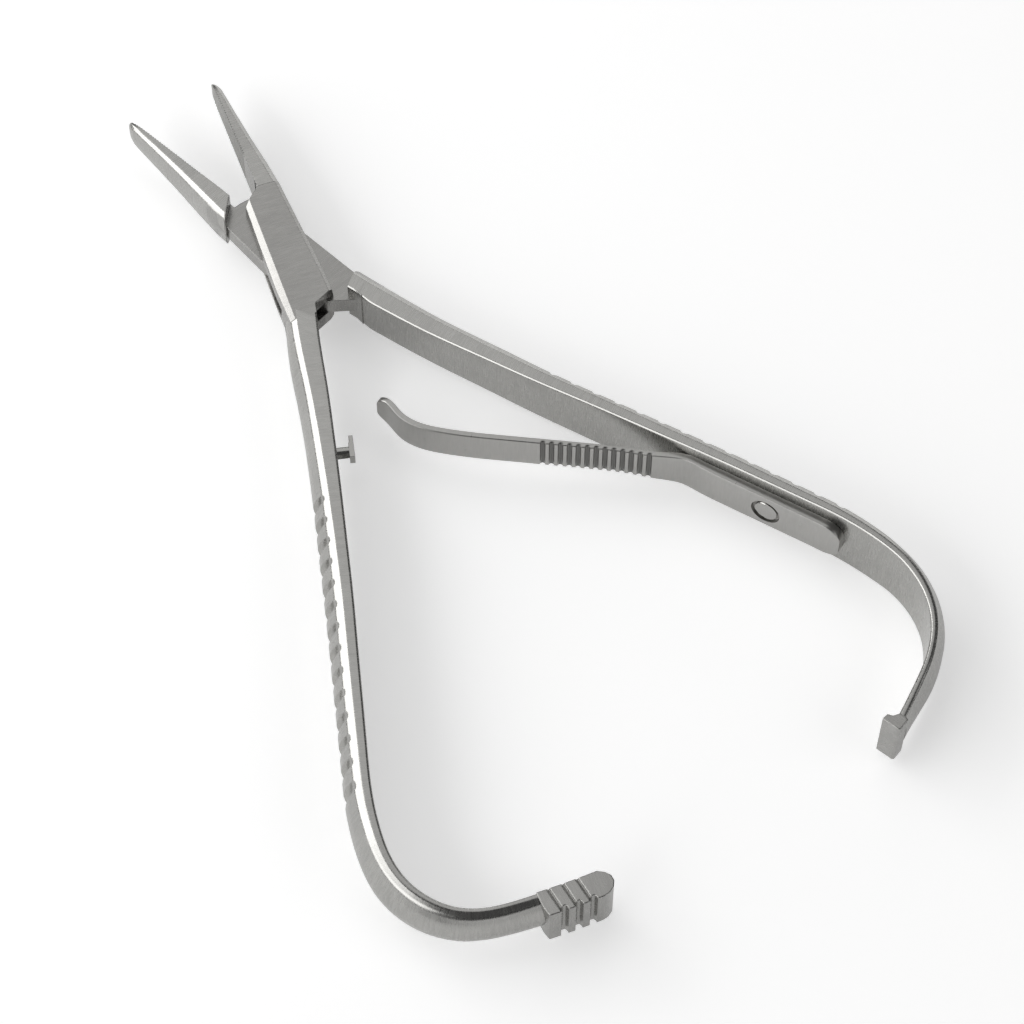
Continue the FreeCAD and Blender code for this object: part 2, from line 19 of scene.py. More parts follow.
import bmesh
import bpy
import numpy as np
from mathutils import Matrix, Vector


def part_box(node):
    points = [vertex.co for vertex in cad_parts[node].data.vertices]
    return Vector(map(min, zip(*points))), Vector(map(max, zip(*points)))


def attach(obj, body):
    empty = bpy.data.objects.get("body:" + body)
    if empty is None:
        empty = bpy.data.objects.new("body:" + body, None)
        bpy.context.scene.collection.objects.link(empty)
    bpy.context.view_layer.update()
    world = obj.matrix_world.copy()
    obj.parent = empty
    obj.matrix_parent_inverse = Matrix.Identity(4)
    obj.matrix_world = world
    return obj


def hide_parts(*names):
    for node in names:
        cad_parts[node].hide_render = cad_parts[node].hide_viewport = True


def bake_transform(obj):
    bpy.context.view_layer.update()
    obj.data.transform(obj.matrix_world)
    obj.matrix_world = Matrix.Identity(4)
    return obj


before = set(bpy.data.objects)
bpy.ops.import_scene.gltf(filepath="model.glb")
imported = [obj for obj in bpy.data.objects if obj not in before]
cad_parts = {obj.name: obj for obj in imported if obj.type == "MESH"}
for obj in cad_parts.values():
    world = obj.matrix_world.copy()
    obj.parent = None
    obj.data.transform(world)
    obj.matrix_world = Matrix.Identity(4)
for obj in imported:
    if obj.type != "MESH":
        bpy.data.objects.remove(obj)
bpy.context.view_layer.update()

log = logging.getLogger("needle_holder")
MM = 0.001
GRAIN = "grain_place"
# Attribute that holds the share of painted shade in the grooves
GROOVE_SHADE = "groove_shade"
HALF_OPENING = 12.1


class Arm(Enum):
    """The two arms: side of the drawing they end on, turn about the pivot in degrees, body."""

    BOX = (1.0, -HALF_OPENING, "box_body")
    TENON = (-1.0, HALF_OPENING, "tenon_body")

    @property
    def mirrored(self) -> bool:
        """Whether the arm's drawing is turned over."""
        return self.value[0] < 0

    @property
    def body(self) -> str:
        """The body that the arm belongs to."""
        return self.value[2]

    def to_frame(self, points: np.ndarray) -> np.ndarray:
        """Takes points of the closed drawing to the object's frame.

        Args:
            points: Any array of points, last axis X, Y, Z in millimetres.

        Returns:
            The same points in metres where the open arm has them.
        """
        side, turn, _ = self.value
        cos, sin = math.cos(math.radians(turn)), math.sin(math.radians(turn))
        x, y, z = points[..., 0] * side, points[..., 1], points[..., 2]
        return np.stack([x * cos - y * sin, x * sin + y * cos, z], axis=-1) * MM + np.array(pivot_place())

    def to_drawing(self, points: np.ndarray) -> np.ndarray:
        """Takes points of the object's frame back to the closed drawing.

        Args:
            points: Array of points in metres.

        Returns:
            The points in millimetres.
        """
        side, turn, _ = self.value
        cos, sin = math.cos(math.radians(turn)), math.sin(math.radians(turn))
        x, y, z = ((points - np.array(pivot_place())) / MM).T
        return np.stack([(x * cos + y * sin) * side, -x * sin + y * cos, z], axis=-1)


def pivot_place() -> Vector:
    """Middle of the hinge pin in the object's frame."""
    low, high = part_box("pivot_pin")
    return (Vector(low) + Vector(high)) / 2


# Finishes


@dataclass(frozen=True)
class SteelFinish:
    """One steel finish: its tone, its gloss, and the grain that the grinding left.

    The edge radius softens sharp edges in the shading alone. The crown is how far a face falls at
    1 mm from its middle, in heights of the grain.
    """

    name: str
    color: tuple[float, float, float] = (0.44, 0.436, 0.42)
    roughness: float = 0.27
    tone_swing: float = 0.22
    grain_depth: float = 0.30
    edge_radius: float = 0.0
    crown: float = 0.0

    GRAIN_HEIGHT = 0.012
    EDGE_SAMPLES = 8

    def build(self, groups: "SteelGroups") -> bpy.types.Material:
        """Makes the material.

        Args:
            groups: The shader node groups that every steel shares.

        Returns:
            The finished material.
        """
        material = bpy.data.materials.new(self.name)
        material.use_nodes = True
        nodes, links = material.node_tree.nodes, material.node_tree.links
        shader = nodes["Principled BSDF"]
        shader.inputs["Metallic"].default_value = 1.0
        place = nodes.new("ShaderNodeAttribute")
        place.attribute_name = GRAIN
        grain = nodes.new("ShaderNodeGroup")
        grain.node_tree = groups.grain
        links.new(place.outputs["Vector"], grain.inputs["Vector"])
        # Painted shade: this attribute darkens the colour in the grooves
        groove_shade = nodes.new("ShaderNodeAttribute")
        groove_shade.attribute_name = GROOVE_SHADE
        links.new(groove_shade.outputs["Fac"], grain.inputs["Groove Shade"])
        grain.inputs["Crown"].default_value = self.crown
        grain.inputs["Color"].default_value = (*self.color, 1.0)
        grain.inputs["Roughness"].default_value = self.roughness
        grain.inputs["Tone Swing"].default_value = self.tone_swing
        links.new(grain.outputs["Color"], shader.inputs["Base Color"])
        links.new(grain.outputs["Roughness"], shader.inputs["Roughness"])
        bump = nodes.new("ShaderNodeBump")
        bump.inputs["Strength"].default_value = self.grain_depth
        bump.inputs["Distance"].default_value = self.GRAIN_HEIGHT * MM
        links.new(grain.outputs["Height"], bump.inputs["Height"])
        if self.edge_radius > 0:
            edge = nodes.new("ShaderNodeBevel")
            edge.samples = self.EDGE_SAMPLES
            edge.inputs["Radius"].default_value = self.edge_radius * MM
            links.new(edge.outputs["Normal"], bump.inputs["Normal"])
        links.new(bump.outputs["Normal"], shader.inputs["Normal"])
        return material


class SteelGroups:
    """Shader node groups shared by all the steels."""

    # How much each kind of mark counts in the tone, and how much painted shade darkens the grooves
    STROKE_SHARE = 1.6
    BAND_SHARE = 0.7
    CLOUD_SHARE = 0.8
    GROOVE_SHADE_STRENGTH = 0.85
    # How much the marks move the roughness
    ROUGH_SWING = 0.06
    # Middle of the crowned faces, across the arm
    CROWN_MIDDLE = 0.6

    def __init__(self) -> None:
        """Builds each group once."""
        self.grain = self._grain_group()

    @classmethod
    def _grain_group(cls) -> bpy.types.NodeTree:
        """Ground grain: fine wavy strokes across the arm, broader bands and faint clouds.

        The vector is in millimetres with Y along the arm. Noise is squeezed along Y, so that its
        streaks run across. Strokes and bands move the tone, the roughness and the height, and
        the clouds move only the tone. Painted shade darkens the colour in the grooves. A crown
        lowers both sides of a face with the square of the distance across from its middle.

        Returns:
            The node group.
        """
        tree = bpy.data.node_groups.new("ground_grain", "ShaderNodeTree")
        face = tree.interface
        face.new_socket("Vector", in_out="INPUT", socket_type="NodeSocketVector")
        face.new_socket("Color", in_out="INPUT", socket_type="NodeSocketColor")
        face.new_socket("Roughness", in_out="INPUT", socket_type="NodeSocketFloat")
        face.new_socket("Tone Swing", in_out="INPUT", socket_type="NodeSocketFloat")
        face.new_socket("Groove Shade", in_out="INPUT", socket_type="NodeSocketFloat")
        face.new_socket("Crown", in_out="INPUT", socket_type="NodeSocketFloat")
        face.new_socket("Color", in_out="OUTPUT", socket_type="NodeSocketColor")
        face.new_socket("Roughness", in_out="OUTPUT", socket_type="NodeSocketFloat")
        face.new_socket("Height", in_out="OUTPUT", socket_type="NodeSocketFloat")
        nodes, links = tree.nodes, tree.links
        entry, leave = nodes.new("NodeGroupInput"), nodes.new("NodeGroupOutput")

        def noise(scale: tuple[float, float, float], detail: float, wave: float) -> bpy.types.NodeSocket:
            """Noise about zero on the stretched vector.

            Args:
                scale: Features per millimetre in each direction.
                detail: Octaves of finer noise on top.
                wave: How far the streaks wander.

            Returns:
                Socket with the value.
            """
            stretch = nodes.new("ShaderNodeMapping")
            stretch.inputs["Scale"].default_value = scale
            texture = nodes.new("ShaderNodeTexNoise")
            texture.inputs["Scale"].default_value = 1.0
            texture.inputs["Detail"].default_value = detail
            texture.inputs["Distortion"].default_value = wave
            links.new(entry.outputs["Vector"], stretch.inputs["Vector"])
            links.new(stretch.outputs["Vector"], texture.inputs["Vector"])
            return number("SUBTRACT", texture.outputs["Fac"], 0.5)

        def number(kind: str, first: object, second: object) -> bpy.types.NodeSocket:
            """Math node on two values.

            Args:
                kind: What it does, in Blender's name for it.
                first: A socket or a number.
                second: A socket or a number.

            Returns:
                Socket with the result.
            """
            node = nodes.new("ShaderNodeMath")
            node.operation = kind
            for socket, value in zip(node.inputs, (first, second)):
                if isinstance(value, (int, float)):
                    socket.default_value = value
                else:
                    links.new(value, socket)
            return node.outputs[0]

        strokes = noise((0.45, 3.6, 0.45), 3.0, 0.5)
        bands = noise((0.16, 0.9, 0.16), 2.0, 0.3)
        clouds = noise((0.09, 0.09, 0.09), 2.0, 0.0)
        marks = number("ADD", number("MULTIPLY", strokes, cls.STROKE_SHARE),
                       number("MULTIPLY", bands, cls.BAND_SHARE))
        tone = number("ADD", marks, number("MULTIPLY", clouds, cls.CLOUD_SHARE))
        gain = number("ADD", number("MULTIPLY", entry.outputs["Tone Swing"], tone), 1.0)
        # Painted shade in the grooves darkens the colour
        darker = number("MULTIPLY", entry.outputs["Groove Shade"], cls.GROOVE_SHADE_STRENGTH)
        gain = number("MULTIPLY", gain, number("SUBTRACT", 1.0, darker))
        scaled = nodes.new("ShaderNodeVectorMath")
        scaled.operation = "SCALE"
        links.new(entry.outputs["Color"], scaled.inputs[0])
        links.new(gain, scaled.inputs["Scale"])
        links.new(scaled.outputs["Vector"], leave.inputs["Color"])
        rough = number("ADD", entry.outputs["Roughness"], number("MULTIPLY", marks, cls.ROUGH_SWING))
        links.new(rough, leave.inputs["Roughness"])
        parts = nodes.new("ShaderNodeSeparateXYZ")
        links.new(entry.outputs["Vector"], parts.inputs["Vector"])
        across = number("SUBTRACT", parts.outputs["X"], cls.CROWN_MIDDLE)
        sunk = number("MULTIPLY", number("MULTIPLY", across, across), entry.outputs["Crown"])
        links.new(number("SUBTRACT", marks, sunk), leave.inputs["Height"])
        return tree


# Geometry


class PlanCurve:
    """Smooth plan curve through points: a natural cubic spline on the chord length."""

    SAMPLES = 6000

    def __init__(self, points: list[tuple[float, float]]) -> None:
        """Fits the spline and tabulates it by distance.

        Args:
            points: Plan points in millimetres, in order.
        """
        place = np.array(points, float)
        step = np.hypot(*np.diff(place, axis=0).T)
        knots = np.concatenate([[0.0], np.cumsum(step)])
        count = len(place)
        system, right = np.eye(count), np.zeros((count, 2))
        slope = np.diff(place, axis=0) / step[:, None]
        for row in range(1, count - 1):
            system[row, row - 1:row + 2] = step[row - 1], 2 * (step[row - 1] + step[row]), step[row]
            right[row] = 6 * (slope[row] - slope[row - 1])
        curving = np.linalg.solve(system, right)
        fine = np.linspace(0.0, knots[-1], self.SAMPLES)
        cell = np.clip(np.searchsorted(knots, fine, side="right") - 1, 0, count - 2)
        width, into = step[cell][:, None], (fine - knots[cell])[:, None]
        left = width - into
        self.place = (curving[cell] * left ** 3 + curving[cell + 1] * into ** 3) / (6 * width) \
            + (place[cell] / width - curving[cell] * width / 6) * left \
            + (place[cell + 1] / width - curving[cell + 1] * width / 6) * into
        run = np.hypot(*np.diff(self.place, axis=0).T)
        self.distance = np.concatenate([[0.0], np.cumsum(run)])
        along = np.gradient(self.place, self.distance, axis=0)
        self.along = along / np.linalg.norm(along, axis=1, keepdims=True)

    @property
    def length(self) -> float:
        """Length of the whole curve."""
        return float(self.distance[-1])

    def at(self, distance: np.ndarray) -> tuple[np.ndarray, np.ndarray]:
        """Reads the curve.

        Args:
            distance: Distances along the curve, one for each station.

        Returns:
            The places and the unit directions there, each with two columns.
        """
        place = np.stack([np.interp(distance, self.distance, self.place[:, k]) for k in (0, 1)], axis=1)
        along = np.stack([np.interp(distance, self.distance, self.along[:, k]) for k in (0, 1)], axis=1)
        return place, along / np.linalg.norm(along, axis=1, keepdims=True)

    def distance_at_y(self, level: float) -> float:
        """Distance of the first point that lies as far back as a level.

        Args:
            level: The level's Y.

        Returns:
            The distance along the curve.
        """
        return float(self.distance[np.argmax(self.place[:, 1] <= level)])


def smooth(value: np.ndarray, low: float, high: float) -> np.ndarray:
    """Smooth step between two values.

    Args:
        value: Where it is read.
        low: Up to here the step is 0.
        high: From here on the step is 1.

    Returns:
        The step, for each value.
    """
    share = np.clip((value - low) / (high - low), 0.0, 1.0)
    return share * share * (3 - 2 * share)


def rounded_loops(corners: np.ndarray, trims: list[float], fills: list[int]) -> np.ndarray:
    """Rounds the corners of one closed polygon per station.

    Each corner becomes a quadratic arc that starts and ends a trim away from it, and each side
    keeps the given number of points between its two arcs.

    Args:
        corners: Array of stations by corners by 2.
        trims: How far from each corner its arc starts.
        fills: Points on the side that follows each corner.

    Returns:
        Array of stations by points by 2.
    """
    most = 0.45  # of the shorter side beside a corner
    after = np.roll(corners, -1, axis=1) - corners
    length = np.linalg.norm(after, axis=2)
    before = np.roll(length, 1, axis=1)
    trim = np.minimum(np.array(trims)[None, :], most * np.minimum(length, before))[..., None]
    unit = after / np.maximum(length, 1e-9)[..., None]
    start = corners - np.roll(unit, 1, axis=1) * trim
    end = corners + unit * trim
    following = np.roll(start, -1, axis=1)
    columns = []
    for index, fill in enumerate(fills):
        for share in (0.0, 0.34, 0.66, 1.0):
            columns.append((1 - share) ** 2 * start[:, index] + 2 * share * (1 - share) * corners[:, index]
                           + share ** 2 * end[:, index])
        for step in range(1, fill + 1):
            share = step / (fill + 1)
            columns.append((1 - share) * end[:, index] + share * following[:, index])
    return np.stack(columns, axis=1)


def grid_object(name: str, grid: np.ndarray, grain: np.ndarray, arm: Arm, sharp: float,
                groove_shade: np.ndarray | None = None) -> bpy.types.Object:
    """Makes a closed skin from a grid of points, with a cap on both ends.

    Args:
        name: Name of the object and of its mesh.
        grid: Array of stations by loop points by 3, in the arm's closed drawing.
        grain: Place of each point for the steel's grain, in millimetres.
        arm: The arm whose drawing it is.
        sharp: Angle in degrees from which an edge stays sharp.
        groove_shade: How deep each point lies in a groove, from 0 to 1, which sets the painted shade there.

    Returns:
        The object.
    """
    stations, count = grid.shape[:2]
    index = np.arange(stations * count).reshape(stations, count)
    beside = np.roll(index, -1, axis=1)
    quads = np.stack([index[:-1], index[1:], beside[1:], beside[:-1]], axis=-1).reshape(-1, 4)
    first, last = index[0], index[-1][::-1]
    if not arm.mirrored:
        quads, first, last = quads[:, ::-1], first[::-1], last[::-1]
    mesh = bpy.data.meshes.new(name)
    mesh.from_pydata(arm.to_frame(grid).reshape(-1, 3).tolist(), [],
                     quads.tolist() + [first.tolist(), last.tolist()])
    shade(mesh, sharp)
    set_grain(mesh, grain)
    # Stores the painted shade of the grooves for the steel's colour
    if groove_shade is not None:
        deep = mesh.attributes.new(GROOVE_SHADE, "FLOAT", "POINT")
        deep.data.foreach_set("value", groove_shade.reshape(-1).astype(np.float32))
    return put(name, mesh)


def put(name: str, data: bpy.types.ID) -> bpy.types.Object:
    """Puts a mesh, a lamp or a camera into the scene.

    Args:
        name: Name of the object.
        data: What the object shows.

    Returns:
        The object, at the origin.
    """
    thing = bpy.data.objects.new(name, data)
    bpy.context.scene.collection.objects.link(thing)
    return thing


def shade(mesh: bpy.types.Mesh, sharp: float) -> None:
    """Shades a mesh smooth but for its sharp edges.

    Args:
        mesh: The mesh.
        sharp: Angle in degrees from which an edge stays sharp.
    """
    mesh.shade_smooth()
    mesh.set_sharp_from_angle(angle=math.radians(sharp))


def vertices_of(mesh: bpy.types.Mesh) -> np.ndarray:
    """Places of a mesh's vertices in metres, one row each."""
    flat = np.empty(len(mesh.vertices) * 3)
    mesh.vertices.foreach_get("co", flat)
    return flat.reshape(-1, 3)


def set_grain(mesh: bpy.types.Mesh, place: np.ndarray) -> None:
    """Stores where each vertex lies in the steel's grain.

    Args:
        mesh: The mesh.
        place: A place in millimetres for each vertex, with Y along the arm.
    """
    attribute = mesh.attributes.new(GRAIN, "FLOAT_VECTOR", "POINT")
    attribute.data.foreach_set("vector", place.reshape(-1).astype(np.float32))


def even_faces(piece: bpy.types.Object) -> None:
    """Lets a piece's large faces set the normals, so that they look flat up to their edges."""
    weighted = piece.modifiers.new("even_faces", "WEIGHTED_NORMAL")
    weighted.keep_sharp = True


def dress(piece: bpy.types.Object, material: bpy.types.Material, nodes: list[str]) -> None:
    """Gives a piece its material and hides the solids that it stands for.

    Args:
        piece: The piece.
        material: Its steel.
        nodes: The solids that the piece replaces.
    """
    piece.data.materials.clear()
    piece.data.materials.append(material)
    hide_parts(*nodes)
    log.info("%s: %d faces", piece.name, len(piece.data.polygons))


@dataclass(frozen=True)
class HandleFront:
    """How a handle begins and how it meets the lock.

    It starts this far behind the pivot, and its front plane comes forward by the slant for each
    millimetre outward. Its flat top and its bevel's edge may be wider there, and the corner is how
    far its inner edge steps outward.
    """

    starts_behind: float
    slant: float = 0.0
    wider_flat: float = 0.0
    wider_edge: float = 0.0
    corner: float = 0.0


@dataclass(frozen=True)
class HandleSkin:
    """Swept skin of one handle, from behind the lock to the end of its strap.

    The strap is lower and the handle thinner than in the table of sections by the two given
    amounts. The skin stands a little proud of the solid all round.
    """

    name: str
    arm: Arm
    line: tuple[tuple[float, float], ...]
    strap_lower_by: float
    thinner_by: float
    front: HandleFront
    end_thickness: float
    proud: float = 0.02

    # Distance back from the pivot, half height, thickness, width of the flat top, of the bevel
    SECTION = np.array([
        (14.0, 3.90, 6.0, 3.3, 0.9), (22.0, 3.90, 5.8, 3.1, 0.95), (32.0, 4.05, 5.3, 2.8, 1.0),
        (42.0, 4.35, 4.9, 2.4, 1.1), (52.0, 4.70, 4.8, 2.1, 1.15), (62.0, 5.00, 4.8, 1.85, 1.25),
        (72.0, 5.25, 4.7, 1.7, 1.35), (90.0, 5.65, 4.4, 1.5, 1.4), (106.0, 5.85, 4.25, 1.25, 1.35),
        (114.0, 5.80, 4.1, 1.1, 1.2), (120.0, 5.50, 3.95, 1.0, 1.0), (127.0, 5.20, 3.5, 0.85, 0.85),
        (134.0, 4.90, 2.95, 0.75, 0.8), (150.0, 4.65, 2.6, 0.75, 0.8),
    ])
    GROOVE_YS = np.linspace(-53.3, -103.1, 14)
    GROOVE_RADIUS = 0.78
    GROOVE_BITE = 0.4
    GROOVE_FLARE = 0.208
    GROOVE_NEAR = 1.7
    INNER_BEVEL = 0.28
    BEVEL_SLOPE = 0.6
    EVEN_STATIONS = 150

    # Distances back from the pivot between which the front's widening and its corner fade, and
    # where its slant has faded
    FRONT_FADES = (17.5, 32.0)
    CORNER_FADES = (17.5, 21.5)
    SLANT_ENDS = 30.0

    # Where the handle starts to get thinner and the strap to get lower, and over what length
    THINS = (45.0, 15.0)
    LOWERS = (108.0, 22.0)

    # Lengths before the end over which the strap gets its last thickness and its bevel flattens,
    # and how much thickness lies outside the widened edge
    END_THINS_OVER = 9.0
    END_FLATTENS_OVER = 7.0
    BELLY = 0.75

    # From the inner edge round the outside and back: roundness of each corner, and points on the
    # side that follows it
    TRIMS = [0.12, 0.12, 0.16, 0.3, 0.9, 0.9, 0.9, 0.3, 0.16, 0.12, 0.12]
    FILLS = [0, 2, 8, 5, 3, 3, 5, 8, 2, 0, 3]

    def stations(self, curve: PlanCurve, grooves: np.ndarray) -> np.ndarray:
        """Places of the sections: even ones, and close ones where a groove's wall stands.

        Args:
            curve: The handle's plan line.
            grooves: Distance of each groove's middle along it.

        Returns:
            Distances along the line, in order.
        """
        first = self.front.starts_behind + self.line[0][1]
        even = np.linspace(first, curve.length, self.EVEN_STATIONS)
        wall = np.array([0.0, 0.2, 0.38, 0.52, 0.62, 0.69, 0.74, 0.78, 0.82, 0.9, 1.0, 1.12, 1.3, 1.6])
        close = (grooves[:, None] + np.concatenate([-wall[:0:-1], wall])[None, :]).reshape(-1)
        near = np.abs(even[:, None] - grooves[None, :]).min(axis=1) < self.GROOVE_NEAR
        kept = even[~near | (even < grooves[0] - self.GROOVE_NEAR)]
        return np.unique(np.concatenate([kept, close]).round(4))

    def build(self) -> bpy.types.Object:
        """Sweeps the section along the plan line and presses the grooves into its outer side.

        A groove is a round-bottomed cut with flared walls. At a distance u from its middle the
        section may reach no further out than the groove's wall, which is a circle's arc near the
        middle and a steep straight flank beyond it.

        Returns:
            The handle.
        """
        curve = PlanCurve(list(self.line))
        grooves = np.array([curve.distance_at_y(y) for y in self.GROOVE_YS])
        distance = self.stations(curve, grooves)
        back = distance - self.line[0][1]
        rows = self.SECTION
        half, thick, flat, bevel = (np.interp(back, rows[:, 0], rows[:, k]) for k in (1, 2, 3, 4))
        thinner = self.thinner_by * np.clip((back - self.THINS[0]) / self.THINS[1], 0.0, 1.0)
        half = half - self.strap_lower_by * np.clip((back - self.LOWERS[0]) / self.LOWERS[1], 0.0, 1.0)
        thick, edge = thick - thinner, flat + bevel - thinner
        near = 1.0 - smooth(back, *self.FRONT_FADES)
        flat, edge = flat + self.front.wider_flat * near, edge + self.front.wider_edge * near
        slimmer = near ** 2 * (self.front.wider_edge > 0)
        thick = thick + (edge + self.BELLY - thick) * slimmer
        left = curve.length - distance
        thick = thick + (self.end_thickness - thick) * (1.0 - smooth(left, 0.0, self.END_THINS_OVER))
        last = smooth(left, 0.0, self.END_FLATTENS_OVER)
        side = half - (edge - flat) * self.BEVEL_SLOPE * (0.35 + 0.65 * last)
        inner, zero = self.INNER_BEVEL + 0 * half, 0 * half
        start = self.front.corner * (1.0 - smooth(back, *self.CORNER_FADES))
        bulge = 0.3 * edge + 0.7 * thick
        upper = [(start, half - inner), (start + inner, half), (flat, half), (edge, side),
                 (bulge, 0.5 * side)]
        outline = upper + [(thick, zero)] + [(s, -z) for s, z in reversed(upper)]
        corners = np.stack([np.stack(pair, axis=-1) for pair in outline], axis=1)
        away = corners - np.stack([thick / 2, zero], axis=-1)[:, None]
        corners = corners + np.sign(away) * self.proud
        loops = rounded_loops(corners, self.TRIMS, self.FILLS)
        offset = np.abs(distance[:, None] - grooves[None, :]).min(axis=1)
        radius = self.GROOVE_RADIUS
        arc = radius - np.sqrt(np.maximum(radius ** 2 - offset ** 2, 0.0))
        reach = np.where(offset < radius, arc, radius + (offset - radius) / self.GROOVE_FLARE)
        limit = edge - self.GROOVE_BITE + reach
        out = np.minimum(loops[..., 0], limit[:, None])

        place, along = curve.at(distance)
        outward = np.stack([along[:, 1], -along[:, 0]], axis=1)
        slant = self.front.slant * (1.0 - smooth(back, self.front.starts_behind, self.SLANT_ENDS))
        plan = place[:, None, :] + outward[:, None, :] * out[..., None]
        plan = plan - along[:, None, :] * (slant[:, None] * out)[..., None]
        grid = np.concatenate([plan, loops[..., 1:2]], axis=2)
        grain = np.stack([loops[..., 0], np.broadcast_to(-back[:, None], out.shape), loops[..., 1]], axis=-1)
        return grid_object(self.name, grid, grain, self.arm, sharp=33.0)


@dataclass(frozen=True)
class JawSkin:
    """Swept skin of one jaw with its serrated gripping face, from the lock to the round tip.

    Its rear plane falls back by the slant for each millimetre outward. Its flat top, its bottom
    and its outer side stand a little proud of the solid.
    """

    name: str
    arm: Arm
    starts_at: float
    slant: float = 0.0
    proud: float = 0.015

    # Y, half height, width of the flat top, outer edge of the bevel, widest point
    SECTION = np.array([
        (8.0, 3.90, 3.05, 3.95, 4.25), (11.5, 3.88, 2.85, 3.75, 4.05), (16.0, 3.74, 2.45, 3.35, 3.6),
        (23.0, 3.30, 1.7, 2.5, 2.65), (30.0, 2.85, 1.1, 1.8, 1.95), (34.5, 2.56, 0.8, 1.4, 1.55),
        (38.0, 2.35, 0.55, 1.15, 1.3),
    ])
    TIP = 37.8
    # Distance from the tip against the greatest width there
    NOSE = np.array([(0.0, 0.25), (0.06, 0.42), (0.28, 0.75), (0.7, 1.05), (1.4, 1.3), (2.4, 1.55),
                     (5.0, 2.3), (15.0, 6.5)])
    FACE_GAP = 0.02
    GROOVE_YS = 19.3 + 0.6 * np.arange(30)
    GROOVE_DEPTH = 0.2
    GROOVE_HALF = 0.19
    BEVEL_SLOPE = 0.8

    # The round nose, the length over which the jaw gets lower towards it, and by how much
    NOSE_RADIUS = 1.3
    LOWERS_OVER = 4.5
    LOWERS_BY = 0.5

    # Where the slant has faded out, and how far out the sections are read along it
    SLANT_ENDS = 18.5
    SLANT_REACH = 3.3

    # From the gripping face round the outside and back: roundness of each corner, and points on
    # the side that follows it
    TRIMS = [0.1, 0.16, 0.25, 1.2, 0.25, 0.16, 0.1]
    FILLS = [5, 4, 4, 4, 4, 5, 6]

    def build(self) -> bpy.types.Object:
        """Sweeps the section towards the tip, presses V grooves into the gripping face and paints shade into
        them.

        A groove's depth falls in a straight line from its middle to its two rims. Near the tip
        the width follows the table of the nose, and the height falls as a quarter ellipse.

        Returns:
            The jaw.
        """
        rims = np.array([-0.29, -0.2, -0.17, -0.03, 0.0, 0.03, 0.17, 0.2, 0.29])
        nose = self.TIP - self.NOSE_RADIUS * (1 - np.cos(np.linspace(0, math.pi / 2, 14)))
        nose = np.concatenate([nose, np.arange(self.TIP - 5.0, self.TIP - self.NOSE_RADIUS, 0.4)])
        plain = np.arange(self.starts_at, self.GROOVE_YS[0] - 0.5, 0.5)
        close = (self.GROOVE_YS[:, None] + rims[None, :]).reshape(-1)
        level = np.unique(np.concatenate([plain, close[close < self.TIP - self.NOSE_RADIUS], nose]).round(4))
        rows = self.SECTION
        slant = self.slant * (1.0 - smooth(level, self.starts_at, self.SLANT_ENDS))
        read = level - self.SLANT_REACH * slant
        half, flat, edge, widest = (np.interp(read, rows[:, 0], rows[:, k]) for k in (1, 2, 3, 4))
        gap = self.TIP - level
        narrow = np.minimum(1.0, np.interp(gap, self.NOSE[:, 0], self.NOSE[:, 1]) / widest)
        dip = 1 - np.sqrt(1 - (1 - np.clip(gap / self.LOWERS_OVER, 0, 1)) ** 2)
        low = 1.0 - self.LOWERS_BY * dip
        half, flat, edge, widest = half * low, flat * narrow, edge * narrow, widest * narrow
        side = half - (edge - flat) * self.BEVEL_SLOPE
        face, zero = self.FACE_GAP + 0 * half, 0 * half
        upper = [(face, half), (flat, half), (edge, side)]
        outline = upper + [(widest, zero)] + [(s, -z) for s, z in reversed(upper)]
        corners = np.stack([np.stack(pair, axis=-1) for pair in outline], axis=1)
        grown = np.sign(corners[..., 1:2]) * np.array([0.0, self.proud])
        corners = corners + grown + (corners[..., :1] > 0.1) * np.array([self.proud, 0.0])
        loops = rounded_loops(corners, self.TRIMS, self.FILLS)
        offset = np.abs(level[:, None] - self.GROOVE_YS[None, :]).min(axis=1)
        depth = self.GROOVE_DEPTH * np.clip(1 - offset / self.GROOVE_HALF, 0, 1) * (gap > 0.5)
        faced = np.clip(1.4 - loops[..., 0] / 0.12, 0, 1)
        out = loops[..., 0] + depth[:, None] * faced
        # Painted shade in the serration grooves, darkest where they are deepest
        groove_shade = (depth / self.GROOVE_DEPTH)[:, None] * faced
        along = level[:, None] - slant[:, None] * out
        grid = np.stack([out, along, loops[..., 1]], axis=-1)[:, ::-1]
        return grid_object(self.name, grid, grid, self.arm, sharp=32.0, groove_shade=groove_shade[:, ::-1])


